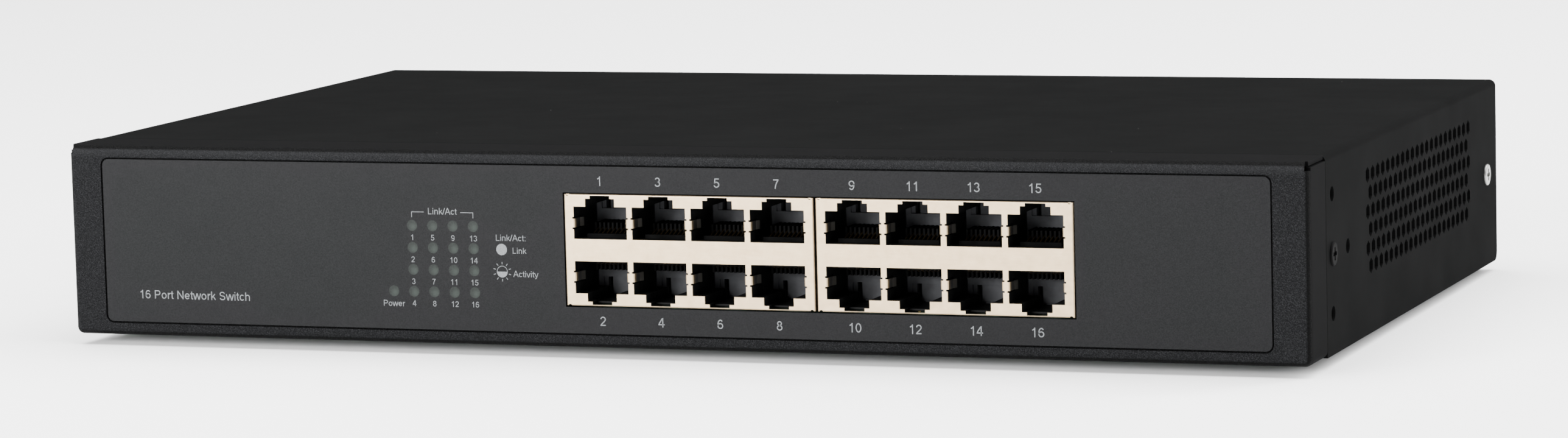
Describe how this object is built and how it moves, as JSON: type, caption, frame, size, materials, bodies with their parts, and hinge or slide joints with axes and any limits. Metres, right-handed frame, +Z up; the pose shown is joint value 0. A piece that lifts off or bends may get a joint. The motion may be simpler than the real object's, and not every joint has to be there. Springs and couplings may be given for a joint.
{
  "type": "desktop network switch",
  "caption": "Flat black steel box with two shielded stacks of modular network jacks and a block of round indicators on its front, hexagonal side vents and a mains inlet behind.",
  "frame": {"origin": "on the surface the feet stand on, under the middle of the case", "axes": "+X to the right seen from the front, +Y to the back, +Z up; the front face is at -Y"},
  "size_m": [0.2952, 0.183, 0.0465],
  "materials": {
    "case_paint": "coarse wrinkle black powder coat on the front, fine matte on the returns",
    "cover_paint": "smooth matte black powder coat",
    "overlay_film": "fine-grained dark blue-grey printed film",
    "indicator_lens": "frosted grey-green",
    "black_plastic": "moulded black",
    "black_screw": "black oxide",
    "bright_screw": "bright zinc",
    "nickel_shield": "warm satin nickel",
    "contact_plastic": "moulded black",
    "gold_contact": "gold flash",
    "pin_metal": "nickel",
    "circuit_board": "green solder mask",
    "chip_plastic": "moulded epoxy",
    "bare_aluminium": "extruded",
    "capacitor_sleeve": "shrunk sleeve",
    "coil_ferrite": "ferrite with enamelled wire",
    "transformer_tape": "yellow tape over ferrite",
    "film_capacitor": "yellow box",
    "fuse_glass": "clear",
    "clear_film": "milky film",
    "lead_sleeve": "black sleeve",
    "earth_sleeve": "green and yellow sleeve",
    "brass_pillar": "turned",
    "foot_rubber": "matte"
  },
  "bodies": {
    "case": {"chassis_tray": "case_paint", "top_cover": "cover_paint", "front_overlay": "overlay_film", "indicator_windows": "indicator_lens", "indicator_leds": "indicator_lens", "indicator_holders": "black_plastic", "jack_housing_left": "black_plastic", "jack_housing_right": "black_plastic", "mains_inlet": "black_plastic", "wire_headers": "black_plastic", "front_cover_screws": "black_screw", "rear_cover_screws": "bright_screw", "inlet_screws": "bright_screw", "board_screws": "bright_screw", "bonding_screw": "bright_screw", "jack_shield_left": "nickel_shield", "jack_shield_right": "nickel_shield", "contact_carrier_left": "contact_plastic", "contact_carrier_right": "contact_plastic", "inlet_pins": "pin_metal", "main_board": "circuit_board", "power_board": "circuit_board", "switch_chip": "chip_plastic", "port_driver_chips": "chip_plastic", "port_transformers": "chip_plastic", "small_chips": "chip_plastic", "bridge_rectifier": "chip_plastic", "power_transistor": "chip_plastic", "chip_heatsink": "bare_aluminium", "power_heatsink": "bare_aluminium", "board_capacitors": "capacitor_sleeve", "bulk_capacitor": "capacitor_sleeve", "output_capacitors": "capacitor_sleeve", "board_coils": "coil_ferrite", "line_choke": "coil_ferrite", "power_transformer": "transformer_tape", "line_capacitor": "film_capacitor", "line_fuse": "fuse_glass", "insulating_film": "clear_film", "mains_leads": "lead_sleeve", "low_voltage_leads": "lead_sleeve", "earth_lead": "earth_sleeve", "board_standoffs": "brass_pillar", "rubber_feet": "foot_rubber"},
    "port_01_springs": {"port_01_contacts": "gold_contact"},
    "port_02_springs": {"port_02_contacts": "gold_contact"},
    "port_03_springs": {"port_03_contacts": "gold_contact"},
    "port_04_springs": {"port_04_contacts": "gold_contact"},
    "port_05_springs": {"port_05_contacts": "gold_contact"},
    "port_06_springs": {"port_06_contacts": "gold_contact"},
    "port_07_springs": {"port_07_contacts": "gold_contact"},
    "port_08_springs": {"port_08_contacts": "gold_contact"},
    "port_09_springs": {"port_09_contacts": "gold_contact"},
    "port_10_springs": {"port_10_contacts": "gold_contact"},
    "port_11_springs": {"port_11_contacts": "gold_contact"},
    "port_12_springs": {"port_12_contacts": "gold_contact"},
    "port_13_springs": {"port_13_contacts": "gold_contact"},
    "port_14_springs": {"port_14_contacts": "gold_contact"},
    "port_15_springs": {"port_15_contacts": "gold_contact"},
    "port_16_springs": {"port_16_contacts": "gold_contact"}
  },
  "joints": [
    {"name": "port_01_contact_flex", "type": "hinge", "parent": "case", "child": "port_01_springs", "pos_m": [-0.01523, -0.0855, 0.02745], "axis": [-1, 0, 0], "range_deg": [0, 8], "stiffness_Nm_per_rad": 0.5},
    {"name": "port_02_contact_flex", "type": "hinge", "parent": "case", "child": "port_02_springs", "pos_m": [-0.01523, -0.0855, 0.02155], "axis": [1, 0, 0], "range_deg": [0, 8], "stiffness_Nm_per_rad": 0.5},
    {"name": "port_03_contact_flex", "type": "hinge", "parent": "case", "child": "port_03_springs", "pos_m": [-0.00126, -0.0855, 0.02745], "axis": [-1, 0, 0], "range_deg": [0, 8], "stiffness_Nm_per_rad": 0.5},
    {"name": "port_04_contact_flex", "type": "hinge", "parent": "case", "child": "port_04_springs", "pos_m": [-0.00126, -0.0855, 0.02155], "axis": [1, 0, 0], "range_deg": [0, 8], "stiffness_Nm_per_rad": 0.5},
    {"name": "port_05_contact_flex", "type": "hinge", "parent": "case", "child": "port_05_springs", "pos_m": [0.01271, -0.0855, 0.02745], "axis": [-1, 0, 0], "range_deg": [0, 8], "stiffness_Nm_per_rad": 0.5},
    {"name": "port_06_contact_flex", "type": "hinge", "parent": "case", "child": "port_06_springs", "pos_m": [0.01271, -0.0855, 0.02155], "axis": [1, 0, 0], "range_deg": [0, 8], "stiffness_Nm_per_rad": 0.5},
    {"name": "port_07_contact_flex", "type": "hinge", "parent": "case", "child": "port_07_springs", "pos_m": [0.02668, -0.0855, 0.02745], "axis": [-1, 0, 0], "range_deg": [0, 8], "stiffness_Nm_per_rad": 0.5},
    {"name": "port_08_contact_flex", "type": "hinge", "parent": "case", "child": "port_08_springs", "pos_m": [0.02668, -0.0855, 0.02155], "axis": [1, 0, 0], "range_deg": [0, 8], "stiffness_Nm_per_rad": 0.5},
    {"name": "port_09_contact_flex", "type": "hinge", "parent": "case", "child": "port_09_springs", "pos_m": [0.04427, -0.0855, 0.02745], "axis": [-1, 0, 0], "range_deg": [0, 8], "stiffness_Nm_per_rad": 0.5},
    {"name": "port_10_contact_flex", "type": "hinge", "parent": "case", "child": "port_10_springs", "pos_m": [0.04427, -0.0855, 0.02155], "axis": [1, 0, 0], "range_deg": [0, 8], "stiffness_Nm_per_rad": 0.5},
    {"name": "port_11_contact_flex", "type": "hinge", "parent": "case", "child": "port_11_springs", "pos_m": [0.05824, -0.0855, 0.02745], "axis": [-1, 0, 0], "range_deg": [0, 8], "stiffness_Nm_per_rad": 0.5},
    {"name": "port_12_contact_flex", "type": "hinge", "parent": "case", "child": "port_12_springs", "pos_m": [0.05824, -0.0855, 0.02155], "axis": [1, 0, 0], "range_deg": [0, 8], "stiffness_Nm_per_rad": 0.5},
    {"name": "port_13_contact_flex", "type": "hinge", "parent": "case", "child": "port_13_springs", "pos_m": [0.07221, -0.0855, 0.02745], "axis": [-1, 0, 0], "range_deg": [0, 8], "stiffness_Nm_per_rad": 0.5},
    {"name": "port_14_contact_flex", "type": "hinge", "parent": "case", "child": "port_14_springs", "pos_m": [0.07221, -0.0855, 0.02155], "axis": [1, 0, 0], "range_deg": [0, 8], "stiffness_Nm_per_rad": 0.5},
    {"name": "port_15_contact_flex", "type": "hinge", "parent": "case", "child": "port_15_springs", "pos_m": [0.08618, -0.0855, 0.02745], "axis": [-1, 0, 0], "range_deg": [0, 8], "stiffness_Nm_per_rad": 0.5},
    {"name": "port_16_contact_flex", "type": "hinge", "parent": "case", "child": "port_16_springs", "pos_m": [0.08618, -0.0855, 0.02155], "axis": [1, 0, 0], "range_deg": [0, 8], "stiffness_Nm_per_rad": 0.5}
  ]
}
